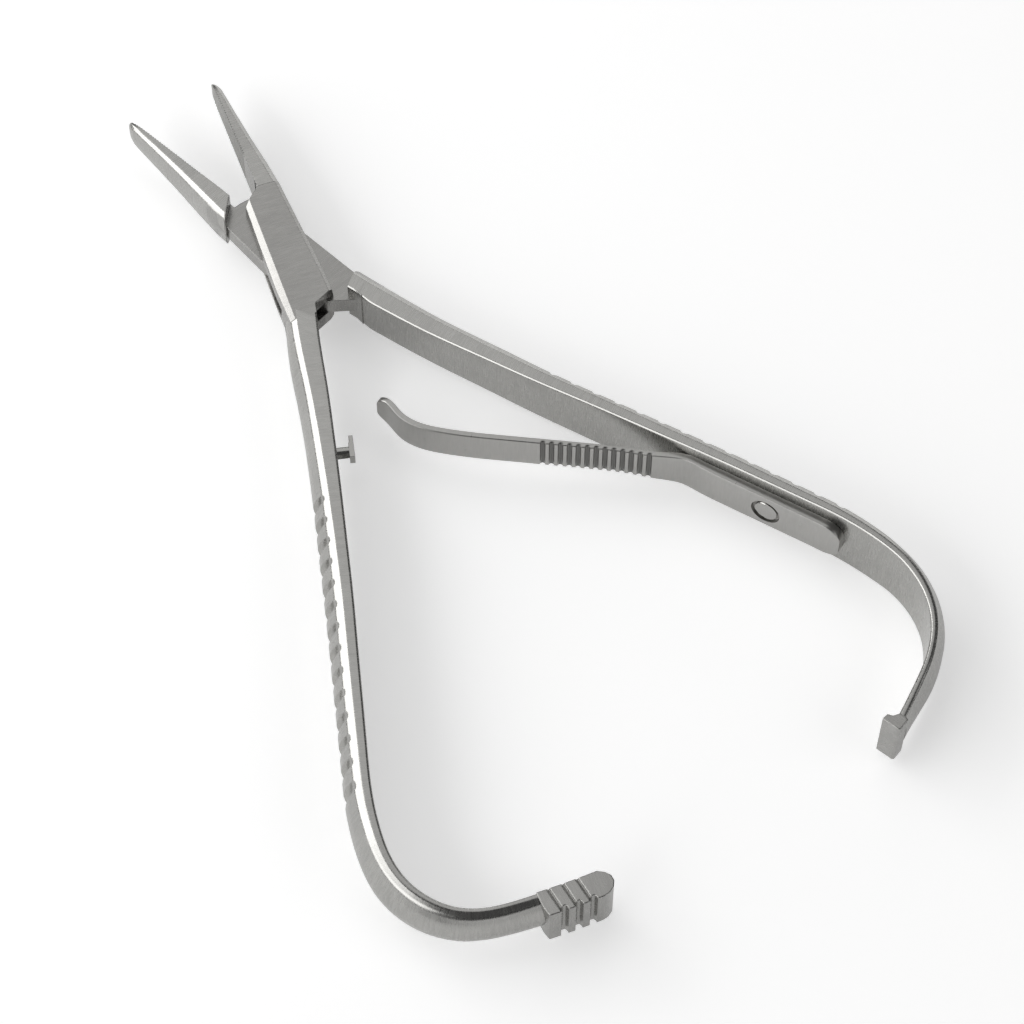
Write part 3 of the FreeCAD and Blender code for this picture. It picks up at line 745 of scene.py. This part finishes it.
@dataclass(frozen=True)
class SolidCopy:
    """Merged copy of a solid, or of its part between two levels along the arm.

    Where a flush pin's radius is given, the walls of its hole are left out and the top and bottom
    close over it. The outer side moves inward by up to the given amount towards the rear.
    """

    name: str
    node: str
    arm: Arm
    levels: tuple[float, float] | None = None
    sharp: float = 26.0
    flush_pin_radius: float = 0.0
    rear_in_by: float = 0.0

    MERGED_WITHIN = 0.0008
    TOP_LEVEL = 3.89
    FLAT_WITHIN = 0.3

    # X and Y below which a point belongs to the outer side, the level where that side starts to
    # move inward, the length over which it does, and the power by which the move grows
    OUTER_SIDE = (-1.2, 1.0)
    REAR_BEGINS = 2.0
    REAR_LENGTH = 19.5
    REAR_POWER = 1.4

    def build(self) -> bpy.types.Object:
        """Copies the mesh, merges its loose triangles, cuts it at the levels and closes it.

        Returns:
            The piece.
        """
        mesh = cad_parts[self.node].data.copy()
        mesh.name = self.name
        form = bmesh.new()
        form.from_mesh(mesh)
        bmesh.ops.remove_doubles(form, verts=form.verts, dist=self.MERGED_WITHIN * MM)
        for level, way in zip(self.levels or (), (-1.0, 1.0)):
            corner, ahead = self.arm.to_frame(np.array([[0.0, level, 0.0], [0.0, level + way, 0.0]]))
            bmesh.ops.bisect_plane(form, geom=form.verts[:] + form.edges[:] + form.faces[:], dist=1e-7,
                                   plane_co=Vector(corner), plane_no=Vector(ahead - corner).normalized(),
                                   clear_outer=True)
            bmesh.ops.holes_fill(form, edges=[edge for edge in form.edges if edge.is_boundary])
        if self.flush_pin_radius > 0:
            middle = self.arm.to_drawing(np.array([face.calc_center_median() for face in form.faces]))
            near = np.hypot(middle[:, 0], middle[:, 1]) < self.flush_pin_radius
            drop = near & (np.abs(middle[:, 2]) < self.TOP_LEVEL)
            faces = list(form.faces)
            bmesh.ops.delete(form, geom=[faces[k] for k in np.flatnonzero(drop)], context="FACES")
            bmesh.ops.holes_fill(form, edges=[edge for edge in form.edges if edge.is_boundary])
        bmesh.ops.dissolve_limit(form, angle_limit=math.radians(self.FLAT_WITHIN), verts=form.verts,
                                 edges=form.edges)
        form.to_mesh(mesh)
        form.free()
        drawn = self.arm.to_drawing(vertices_of(mesh))
        if self.rear_in_by > 0:
            outer = (drawn[:, 0] < self.OUTER_SIDE[0]) & (drawn[:, 1] < self.OUTER_SIDE[1])
            share = np.clip((self.REAR_BEGINS - drawn[outer, 1]) / self.REAR_LENGTH, 0.0, 1.0)
            drawn[outer, 0] += self.rear_in_by * share ** self.REAR_POWER
            mesh.vertices.foreach_set("co", self.arm.to_frame(drawn).reshape(-1))
        shade(mesh, self.sharp)
        set_grain(mesh, drawn)
        piece = put(self.name, mesh)
        even_faces(piece)
        return piece


@dataclass(frozen=True)
class RoundedBlock:
    """Upright block with a plan outline, cut by slanting notches, with its sharp edges rounded."""

    name: str
    arm: Arm
    outline: tuple[tuple[float, float], ...]
    height: float
    edge_width: float
    notches: tuple[float, ...] = ()

    # A notch is a V: half its width at a rim above the face, that rim's height, its depth, how far
    # its root lies off its middle, from where to where it runs, and how far it leans across
    NOTCH_HALF = 0.55
    NOTCH_ABOVE = 0.25
    NOTCH_DEPTH = 0.35
    NOTCH_ROOT_AT = 0.1
    NOTCH_RUN = (-134.0, -125.5)
    NOTCH_LEAN = 1.6

    def build(self) -> bpy.types.Object:
        """Extrudes the outline, cuts the notches across the top and bottom, rounds the edges.

        Returns:
            The block.
        """
        block = self._prism(self.name, np.array(self.outline), -self.height / 2, self.height / 2)
        for x in self.notches:
            for sign in (1.0, -1.0):
                cut(block, self._notch(x, sign), sharp=30.0)
        rounding = block.modifiers.new("rounding", "BEVEL")
        rounding.width = self.edge_width * MM
        rounding.segments = 3
        rounding.limit_method = "ANGLE"
        rounding.angle_limit = math.radians(28.0)
        depsgraph = bpy.context.evaluated_depsgraph_get()
        mesh = bpy.data.meshes.new_from_object(block.evaluated_get(depsgraph))
        block.modifiers.clear()
        block.data = mesh
        shade(mesh, 40.0)
        set_grain(mesh, self.arm.to_drawing(vertices_of(mesh))[:, [1, 0, 2]])
        even_faces(block)
        return block

    def _prism(self, name: str, plan: np.ndarray, low: float, high: float) -> bpy.types.Object:
        """Prism on a plan.

        Args:
            name: Name of the object.
            plan: Corners of the plan in the arm's closed drawing.
            low: Height of its base.
            high: Height of its top.

        Returns:
            The prism.
        """
        count = len(plan)
        points = np.concatenate([np.column_stack([plan, np.full(count, z)]) for z in (low, high)])
        index = np.arange(count)
        beside = np.roll(index, -1)
        sides = np.stack([index, beside, beside + count, index + count], axis=1)
        faces = [list(row) for row in sides] + [list(index[::-1]), list(index + count)]
        area = np.sum(plan[:, 0] * np.roll(plan[:, 1], -1) - np.roll(plan[:, 0], -1) * plan[:, 1])
        if (area > 0) == self.arm.mirrored:
            faces = [face[::-1] for face in faces]
        mesh = bpy.data.meshes.new(name)
        mesh.from_pydata(self.arm.to_frame(points).tolist(), [], [[int(k) for k in face] for face in faces])
        return put(name, mesh)

    def _notch(self, x: float, sign: float) -> bpy.types.Object:
        """V-shaped cutter that runs across the top or the bottom.

        Args:
            x: Its middle at the rear.
            sign: 1 for the top and -1 for the bottom.

        Returns:
            The cutter.
        """
        level = sign * self.height / 2
        rim = level + sign * self.NOTCH_ABOVE
        rows = []
        for y, lean in zip(self.NOTCH_RUN, (0.0, -self.NOTCH_LEAN)):
            rows += [(x - self.NOTCH_HALF + lean, y, rim), (x + self.NOTCH_HALF + lean, y, rim),
                     (x + self.NOTCH_ROOT_AT + lean, y, level - sign * self.NOTCH_DEPTH)]
        faces = [(0, 2, 1), (3, 4, 5), (0, 1, 4, 3), (1, 2, 5, 4), (2, 0, 3, 5)]
        mesh = bpy.data.meshes.new("notch")
        mesh.from_pydata(self.arm.to_frame(np.array(rows)).tolist(), [], faces)
        form = bmesh.new()
        form.from_mesh(mesh)
        bmesh.ops.recalc_face_normals(form, faces=form.faces)
        form.to_mesh(mesh)
        form.free()
        return put("notch", mesh)


RACK_GAPS = (-0.15, 2.1, 4.35)


def rack_outline() -> tuple[tuple[float, float], ...]:
    """Plan of the rack: three gaps on its outer arc, about the pivot, and a rounded free end."""
    outer, inner, root, half_gap = 131.9, 127.8, -131.1, 0.475

    def arc(radius: float, x_values: np.ndarray) -> list[tuple[float, float]]:
        """Points of an arc about the pivot."""
        return [(float(x), -math.sqrt(radius ** 2 - x ** 2)) for x in x_values]

    plan = [(-3.1, -127.76), (-3.05, -129.4), (-2.95, -130.5), (-2.75, -131.2)]
    starts = [-2.55]
    for x in RACK_GAPS:
        left, right = x - half_gap, x + half_gap
        plan += arc(outer, np.linspace(starts[-1], left - 0.12, 3))
        plan += [(left + 0.05, root - 0.25), (left + 0.3, root), (right - 0.2, root), (right, root - 0.3)]
        starts.append(right + 0.1)
    plan += arc(outer, np.linspace(starts[-1], 5.9, 2))
    plan += [(6.8, -131.55), (7.7, -130.9), (8.15, -129.95), (8.05, -129.0), (7.4, -128.25)]
    plan += arc(inner, np.linspace(6.3, -2.0, 6))
    return tuple(plan)


@dataclass(frozen=True)
class SpringStrip:
    """The leaf spring: a strip with round ends and cross grooves, a small gap off its handle."""

    name: str
    handle_line: tuple[tuple[float, float], ...]
    seat_gap: float = 0.06

    ROOT_YS = (-105.3, -101.5, -98.0, -94.5, -91.0, -87.5, -84.0, -81.0, -78.5)
    FREE_LINE = (
        (-13.7, -74.8), (-10.6, -70.3), (-6.9, -65.4), (-2.7, -60.1), (1.7, -54.6), (4.6, -50.9),
        (7.1, -47.4), (8.85, -44.5), (9.7, -42.2), (9.9, -40.2), (9.65, -38.4), (9.5, -36.6),
        (9.85, -34.8),
    )
    GROOVE_COUNT = 13
    GROOVE_FIRST = 33.9
    GROOVE_PITCH = 1.43
    GROOVE_RADIUS = 0.45
    GROOVE_DEPTH = 0.36
    GROOVE_NEAR = 0.6

    # Thickness at the root, and how much thinner it gets over a length from a distance on
    THICKNESS = 1.5
    THINNER_BY = 0.5
    THINS = (22.0, 10.0)

    # Half height at two levels, the length of the round ends, and the share of the height that is
    # left at the very end
    HALF_LEVELS = (-79.0, -72.0)
    HALF_HEIGHTS = (3.55, 3.0)
    END_LENGTH = 3.2
    END_SHARE = 0.4
    END_STATIONS_OVER = 3.4

    TRIMS = [0.12, 0.2, 0.2, 0.12]
    FILLS = [1, 5, 1, 3]

    def build(self) -> bpy.types.Object:
        """Sweeps the strip, sinks the grooves into the face away from the handle and paints shade into them.

        The half height is a quarter ellipse at both ends. A groove is a circle's arc.

        Returns:
            The spring, without its countersink.
        """
        handle = PlanCurve(list(self.handle_line))
        root, along = handle.at(np.array([handle.distance_at_y(y) for y in self.ROOT_YS]))
        inward = np.stack([-along[:, 1], along[:, 0]], axis=1)
        curve = PlanCurve([tuple(p) for p in root + inward * self.seat_gap] + list(self.FREE_LINE))
        grooves = self.GROOVE_FIRST + self.GROOVE_PITCH * np.arange(self.GROOVE_COUNT)
        ends = self.END_STATIONS_OVER * (1 - np.cos(np.linspace(0, math.pi / 2, 22)))
        even = np.linspace(self.END_STATIONS_OVER, curve.length - self.END_STATIONS_OVER, 120)
        wall = np.array([0.0, 0.1, 0.2, 0.29, 0.36, 0.41, 0.44, 0.47, 0.55])
        close = (grooves[:, None] + np.concatenate([-wall[:0:-1], wall])[None, :]).reshape(-1)
        near = np.abs(even[:, None] - grooves[None, :]).min(axis=1) < self.GROOVE_NEAR
        distance = np.unique(np.concatenate([ends, even[~near], close, curve.length - ends]).round(4))
        place, along = curve.at(distance)
        thins = np.clip((distance - self.THINS[0]) / self.THINS[1], 0.0, 1.0)
        thick = self.THICKNESS - self.THINNER_BY * thins
        half = np.interp(place[:, 1], self.HALF_LEVELS, self.HALF_HEIGHTS)
        for gap in (distance, curve.length - distance):
            into = np.clip(gap / self.END_LENGTH, 0.0, 1.0)
            half = half * (self.END_SHARE + (1 - self.END_SHARE) * np.sqrt(1 - (1 - into) ** 2))
        offset = np.abs(distance[:, None] - grooves[None, :]).min(axis=1)
        depth = np.sqrt(np.maximum(self.GROOVE_RADIUS ** 2 - offset ** 2, 0.0))
        depth = np.maximum(depth - (self.GROOVE_RADIUS - self.GROOVE_DEPTH), 0.0)
        zero, front = 0 * thick, thick - depth
        outline = [(zero, half), (front, half), (front, -half), (zero, -half)]
        corners = np.stack([np.stack(pair, axis=-1) for pair in outline], axis=1)
        loops = rounded_loops(corners, self.TRIMS, self.FILLS)
        inward = np.stack([along[:, 1], -along[:, 0]], axis=1)
        plan = place[:, None, :] + inward[:, None, :] * loops[..., :1]
        grid = np.concatenate([plan, loops[..., 1:2]], axis=2)
        grain = np.stack([loops[..., 0], np.broadcast_to(-distance[:, None], loops.shape[:2]),
                          loops[..., 1]], axis=-1)
        # Painted shade in the grooves on the face away from the handle
        groove_shade = (depth / self.GROOVE_DEPTH)[:, None] * (loops[..., 0] > 0.5 * front[:, None])
        return grid_object(self.name, grid, grain, Arm.TENON, sharp=38.0, groove_shade=0.8 * groove_shade)


def round_bar(name: str, low: Vector, high: Vector, radius: float, arm: Arm) -> bpy.types.Object:
    """Plain round bar between two points of the object's frame, with a narrow chamfer.

    Args:
        name: Name of the object.
        low: Middle of one end, in metres.
        high: Middle of the other end, in metres.
        radius: Radius in millimetres.
        arm: The arm that it belongs to.

    Returns:
        The bar.
    """
    chamfer, sides = 0.1, 64
    length = (high - low).length / MM
    profile = np.array([(radius - chamfer, 0.0), (radius, chamfer), (radius, length - chamfer),
                        (radius - chamfer, length)])
    turn = np.linspace(0, 2 * math.pi, sides, endpoint=False)
    ring = np.stack([np.cos(turn), np.sin(turn)], axis=1)
    basis = (high - low).to_track_quat("Z", "Y").to_matrix()
    points = np.concatenate([np.concatenate([ring * r, np.full((sides, 1), z)], axis=1) for r, z in profile])
    world = points @ np.array(basis).T * MM + np.array(low)
    index = np.arange(len(profile) * sides).reshape(-1, sides)
    beside = np.roll(index, -1, axis=1)
    quads = np.stack([index[:-1], beside[:-1], beside[1:], index[1:]], axis=-1).reshape(-1, 4)
    mesh = bpy.data.meshes.new(name)
    mesh.from_pydata(world.tolist(), [], quads.tolist() + [index[0][::-1].tolist(), index[-1].tolist()])
    shade(mesh, 30.0)
    set_grain(mesh, arm.to_drawing(world))
    return put(name, mesh)


def cut(piece: bpy.types.Object, cutter: bpy.types.Object, sharp: float) -> None:
    """Takes the cutter's room out of a piece for good, and removes the cutter.

    Args:
        piece: The piece that gets the hollow.
        cutter: The shape of the hollow.
        sharp: Angle in degrees from which an edge stays sharp.
    """
    taken = piece.modifiers.new("cut", "BOOLEAN")
    taken.operation = "DIFFERENCE"
    taken.solver = "EXACT"
    taken.object = cutter
    depsgraph = bpy.context.evaluated_depsgraph_get()
    mesh = bpy.data.meshes.new_from_object(piece.evaluated_get(depsgraph))
    piece.modifiers.remove(taken)
    piece.data = mesh
    shade(mesh, sharp)
    bpy.data.objects.remove(cutter)


# Studio


@dataclass(frozen=True)
class Softbox:
    """One soft lamp: its direction from the object, distance and size in metres, brightness."""

    name: str
    direction: tuple[float, float, float]
    distance: float
    size: tuple[float, float]
    radiance: float

    def build(self, target: Vector) -> None:
        """Hangs the lamp.

        Args:
            target: The place that it faces.
        """
        data = bpy.data.lights.new(self.name, "AREA")
        data.shape = "RECTANGLE"
        data.size, data.size_y = self.size
        data.energy = math.pi * self.size[0] * self.size[1] * self.radiance
        lamp = put(self.name, data)
        lamp.location = target + Vector(self.direction).normalized() * self.distance
        lamp.rotation_euler = (target - lamp.location).to_track_quat("-Z", "Y").to_euler()


@dataclass(frozen=True)
class Studio:
    """Pale floor, softboxes and the camera at the photograph's angle."""

    softboxes: tuple[Softbox, ...]
    floor_color: tuple[float, float, float] = (0.86, 0.86, 0.86)
    floor_glow: float = 0.43
    world_strength: float = 0.07

    # Half the floor's side in metres, and how much of its glow the reflections see
    FLOOR_HALF = 1.6
    REFLECTED_SHARE = 0.6

    # Lens in millimetres, camera and the point it looks at in millimetres from the pivot
    LENS = 101.95
    CAMERA_PLACE = (-131.4, -274.8, 384.3)
    CAMERA_TARGET = (4.2, -65.3, 0.0)

    def build_floor(self) -> None:
        """Lays a plain sheet under the instrument.

        It glows a little for the camera and for reflections, so that the paper reads white and
        still takes the shadow.
        """
        side = self.FLOOR_HALF
        mesh = bpy.data.meshes.new("floor")
        corners = [(-side, -side, 0.0), (side, -side, 0.0), (side, side, 0.0), (-side, side, 0.0)]
        mesh.from_pydata(corners, [], [(0, 1, 2, 3)])
        floor = put("floor", mesh)
        material = bpy.data.materials.new("floor_paper")
        material.use_nodes = True
        nodes, links = material.node_tree.nodes, material.node_tree.links
        shader = nodes["Principled BSDF"]
        shader.inputs["Base Color"].default_value = (*self.floor_color, 1.0)
        shader.inputs["Roughness"].default_value = 0.9
        shader.inputs["Specular IOR Level"].default_value = 0.1
        shader.inputs["Emission Color"].default_value = (1.0, 1.0, 1.0, 1.0)
        path = nodes.new("ShaderNodeLightPath")
        seen = nodes.new("ShaderNodeMath")
        seen.operation = "MULTIPLY_ADD"
        seen.inputs[1].default_value = self.REFLECTED_SHARE
        links.new(path.outputs["Is Glossy Ray"], seen.inputs[0])
        links.new(path.outputs["Is Camera Ray"], seen.inputs[2])
        glow = nodes.new("ShaderNodeMath")
        glow.operation = "MULTIPLY"
        glow.inputs[1].default_value = self.floor_glow
        links.new(seen.outputs[0], glow.inputs[0])
        links.new(glow.outputs[0], shader.inputs["Emission Strength"])
        mesh.materials.append(material)

    def build_camera(self, pivot: Vector) -> None:
        """Camera to the left of and behind the handles, looking down at 57 degrees.

        Args:
            pivot: Middle of the hinge pin, from which its place is measured.
        """
        data = bpy.data.cameras.new("camera")
        data.sensor_width = 36.0
        data.lens = self.LENS
        data.clip_start, data.clip_end = 0.01, 10.0
        camera = put("camera", data)
        place = pivot + Vector(self.CAMERA_PLACE) * MM
        target = pivot + Vector(self.CAMERA_TARGET) * MM
        camera.location = place
        camera.rotation_euler = (target - place).to_track_quat("-Z", "Y").to_euler()
        bpy.context.scene.camera = camera

    def build(self, pivot: Vector) -> None:
        """Sets the whole studio round the object.

        Args:
            pivot: Middle of the hinge pin.
        """
        self.build_floor()
        self.build_camera(pivot)
        for softbox in self.softboxes:
            softbox.build(Vector((0.0, 0.0, 0.0)))
        world = bpy.data.worlds.new("studio")
        bpy.context.scene.world = world
        world.use_nodes = True
        world.node_tree.nodes["Background"].inputs["Color"].default_value = (1.0, 1.0, 1.0, 1.0)
        world.node_tree.nodes["Background"].inputs["Strength"].default_value = self.world_strength
        bpy.context.scene.view_settings.view_transform = "Standard"


# The instrument

# Plan lines of the handles' inner sides, from the lock to the end of the strap, and the catch's plan
RACK_HANDLE_LINE = (
    (1.7, -14.0), (0.75, -18.0), (-0.2, -22.0), (-2.2, -32.0), (-4.4, -42.0), (-6.7, -52.0),
    (-9.1, -62.0), (-11.55, -72.0), (-14.05, -81.5), (-16.4, -90.5), (-18.5, -98.5),
    (-20.15, -105.5), (-20.85, -111.0), (-20.85, -115.3), (-19.85, -119.5), (-17.5, -123.3),
    (-14.2, -126.0), (-10.8, -127.25), (-6.3, -127.75), (-1.8, -127.8),
)
CATCH_HANDLE_LINE = (
    (0.25, -13.0), (-0.45, -17.2), (-1.4, -22.1), (-3.4, -31.7), (-5.95, -41.5), (-8.75, -52.0),
    (-11.75, -62.2), (-14.6, -72.2), (-17.25, -81.5), (-19.7, -90.6), (-21.75, -98.3),
    (-23.45, -105.5), (-24.15, -111.2), (-24.2, -115.3), (-23.45, -119.1), (-22.0, -122.5),
    (-19.8, -125.5), (-16.8, -128.0), (-13.4, -129.85), (-9.8, -131.2), (-6.0, -132.45),
    (-3.6, -133.2),
)
CATCH_OUTLINE = (
    (-3.9, -133.2), (-4.1, -134.3), (-3.9, -134.86), (-1.95, -135.1), (-1.65, -134.85),
    (-1.35, -131.93), (-2.5, -131.95), (-2.85, -132.7),
)


class NeedleHolder:
    """All pieces of the instrument."""

    BOX_LEVELS = (-19.6, 13.0)
    WEB_LEVELS = (-19.0, 14.0)
    PIN_RADIUS = 1.6
    PIN_SUNK_BY = 0.06

    # Rivet's place along the handle, depth and radius of its countersink, radius of its hole
    RIVET_Y = -92.6
    SINK_DEPTH = 0.85
    SINK_RADIUS = 2.5
    HOLE_RADIUS = 1.24

    # Plan points where the leaf's bend starts and ends; build_spring turns them into the object's frame and
    # does nothing more with them
    BEND_STARTS = (-17.2, -83.0)
    BEND_ENDS = (-11.9, -72.5)

    def __init__(self) -> None:
        """Prepares the shared shader groups and the materials."""
        groups = SteelGroups()
        self.handle_steel = SteelFinish("handle_steel").build(groups)
        self.lock_steel = SteelFinish("lock_steel", color=(0.375, 0.37, 0.357), edge_radius=0.16,
                                      crown=1.0).build(groups)
        self.block_steel = SteelFinish("block_steel", color=(0.40, 0.396, 0.382),
                                       edge_radius=0.32).build(groups)
        self.spring_steel = SteelFinish("spring_steel", color=(0.45, 0.445, 0.43), roughness=0.3,
                                        tone_swing=0.12).build(groups)
        self.pin_steel = SteelFinish("pin_steel", roughness=0.22, tone_swing=0.05, grain_depth=0.1,
                                     edge_radius=0.1).build(groups)

    def steel_of(self, name: str) -> bpy.types.Material:
        """Finish of a piece of an arm.

        Args:
            name: Name of the piece.

        Returns:
            Its steel.
        """
        if name in ("rack", "catch"):
            return self.block_steel
        return self.lock_steel if name in ("box", "web") else self.handle_steel

    def build_box_arm(self) -> None:
        """Handle, box of the lock with the pin's end ground flush, jaw and rack."""
        front = HandleFront(18.6, slant=0.6, wider_flat=0.21, wider_edge=0.4)
        pieces = [
            HandleSkin("box_arm_handle", Arm.BOX, RACK_HANDLE_LINE, strap_lower_by=0.85,
                       thinner_by=0.0, front=front, end_thickness=3.1).build(),
            SolidCopy("box", "box_arm", Arm.BOX, self.BOX_LEVELS, flush_pin_radius=1.7,
                      rear_in_by=0.55).build(),
            JawSkin("box_arm_jaw", Arm.BOX, 11.3).build(),
            RoundedBlock("rack", Arm.BOX, rack_outline(), 8.1, 0.12, notches=RACK_GAPS).build(),
        ]
        for piece in pieces:
            dress(piece, self.steel_of(piece.name), ["box_arm"])
            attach(piece, Arm.BOX.body)

    def build_tenon_arm(self) -> None:
        """Handle, web of the lock, jaw and catch."""
        front = HandleFront(16.3, slant=0.30, corner=0.6)
        pieces = [
            HandleSkin("tenon_arm_handle", Arm.TENON, CATCH_HANDLE_LINE, strap_lower_by=0.0,
                       thinner_by=0.4, front=front, end_thickness=1.75).build(),
            SolidCopy("web", "tenon_arm", Arm.TENON, self.WEB_LEVELS).build(),
            JawSkin("tenon_arm_jaw", Arm.TENON, 12.35, slant=0.789).build(),
            RoundedBlock("catch", Arm.TENON, CATCH_OUTLINE, 9.5, 0.12).build(),
        ]
        for piece in pieces:
            dress(piece, self.steel_of(piece.name), ["tenon_arm"])
            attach(piece, Arm.TENON.body)

    def build_small_parts(self) -> None:
        """Pivot pin, stud and rivet."""
        low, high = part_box("pivot_pin")
        middle = pivot_place()
        levels = (low[2] + self.PIN_SUNK_BY * MM, high[2] - self.PIN_SUNK_BY * MM)
        ends = [Vector((middle.x, middle.y, level)) for level in levels]
        pin = round_bar("pin", ends[0], ends[1], self.PIN_RADIUS, Arm.BOX)
        dress(pin, self.pin_steel, ["pivot_pin"])
        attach(pin, Arm.BOX.body)
        stud = SolidCopy("stud", "spring_stud", Arm.BOX).build()
        dress(stud, self.pin_steel, ["spring_stud"])
        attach(stud, Arm.BOX.body)
        rivet = SolidCopy("rivet", "spring_rivet", Arm.TENON, sharp=45.0).build()
        dress(rivet, self.pin_steel, ["spring_rivet"])
        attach(rivet, Arm.TENON.body)

    def build_spring(self) -> None:
        """Leaf spring, with the countersink and the hole for its rivet cut into it."""
        spring = SpringStrip("spring", CATCH_HANDLE_LINE).build()
        curve = PlanCurve(list(CATCH_HANDLE_LINE))
        place, along = curve.at(np.array([curve.distance_at_y(self.RIVET_Y)]))
        inward = np.array([-along[0, 1], along[0, 0]])
        floor = place[0] + inward * (SpringStrip.THICKNESS + SpringStrip.seat_gap - self.SINK_DEPTH)
        outer = place[0] + inward * 6.0
        inner = place[0] - inward * 1.0
        ends = [Vector(Arm.TENON.to_frame(np.array([*p, 0.0]))) for p in (floor, outer, inner)]
        for name, first, radius in (("sink", ends[0], self.SINK_RADIUS), ("hole", ends[2], self.HOLE_RADIUS)):
            cut(spring, round_bar(name, first, ends[1], radius, Arm.TENON), sharp=38.0)
        dress(spring, self.spring_steel, ["leaf_spring"])
        start, end = (Vector(Arm.TENON.to_frame(np.array([*p, 0.0])))
                      for p in (self.BEND_STARTS, self.BEND_ENDS))
        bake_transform(spring)

    def build(self) -> None:
        """Builds every piece."""
        self.build_box_arm()
        self.build_tenon_arm()
        self.build_small_parts()
        self.build_spring()


def main() -> None:
    """Builds the studio and the instrument, and reports each piece."""
    logging.basicConfig(level=logging.INFO, format="%(name)s %(message)s")
    NeedleHolder().build()
    Studio((
        Softbox("overhead", (0.04, 0.57, 0.82), 1.1, (1.3, 1.3), 0.72),
        Softbox("back_left", (-0.41, 0.79, 0.42), 1.15, (1.0, 0.45), 2.8),
        Softbox("left", (-0.88, 0.08, 0.47), 1.1, (1.3, 0.75), 2.3),
        Softbox("front_right", (0.55, -0.75, 0.65), 1.3, (1.0, 0.6), 1.2),
        Softbox("back_right", (0.74, 0.67, 0.22), 1.2, (1.0, 0.5), 1.1),
    )).build(pivot_place())
    bpy.context.view_layer.update()


if __name__ == "__main__":
    main()
